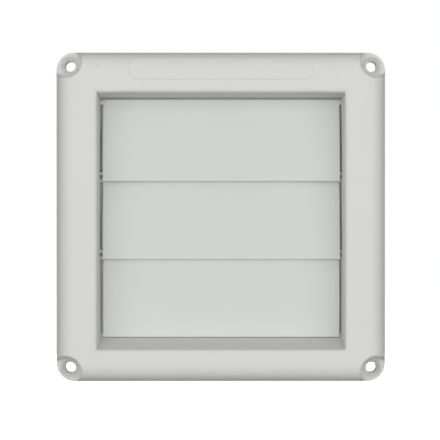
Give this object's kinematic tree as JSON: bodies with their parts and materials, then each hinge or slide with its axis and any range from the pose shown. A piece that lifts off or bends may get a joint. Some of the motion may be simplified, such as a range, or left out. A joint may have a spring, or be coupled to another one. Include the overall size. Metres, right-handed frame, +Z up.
{
  "type": "backdraft louvred vent",
  "caption": "Square wall vent with a deep rounded border, a recessed opening closed by hinged gravity flaps, and a round duct spigot behind.",
  "frame": {"origin": "on the duct spigot's axis, in the plane of the wall behind the frame", "axes": "X across the vent to the viewer's right, +Y back through the wall into the duct, Z up; the front of the border is at y = -24 mm"},
  "size_m": [0.155, 0.0592, 0.155],
  "materials": {
    "frame_plastic": "light grey, fine satin moulded surface",
    "flap_plastic": "the same light grey plastic, thin and slightly bowed"
  },
  "bodies": {
    "frame": {"frame": "frame_plastic"},
    "flap_top": {"flap_top": "flap_plastic"},
    "flap_middle": {"flap_middle": "flap_plastic"},
    "flap_bottom": {"flap_bottom": "flap_plastic"}
  },
  "joints": [
    {"name": "flap_top_hinge", "type": "hinge", "parent": "frame", "child": "flap_top", "pos_m": [0, -0.0042, 0.05409], "axis": [-1, 0, 0], "range_deg": [0, 85]},
    {"name": "flap_middle_hinge", "type": "hinge", "parent": "frame", "child": "flap_middle", "pos_m": [0, -0.0042, 0.01739], "axis": [-1, 0, 0], "range_deg": [0, 49]},
    {"name": "flap_bottom_hinge", "type": "hinge", "parent": "frame", "child": "flap_bottom", "pos_m": [0, -0.0042, -0.01931], "axis": [-1, 0, 0], "range_deg": [0, 55]}
  ]
}
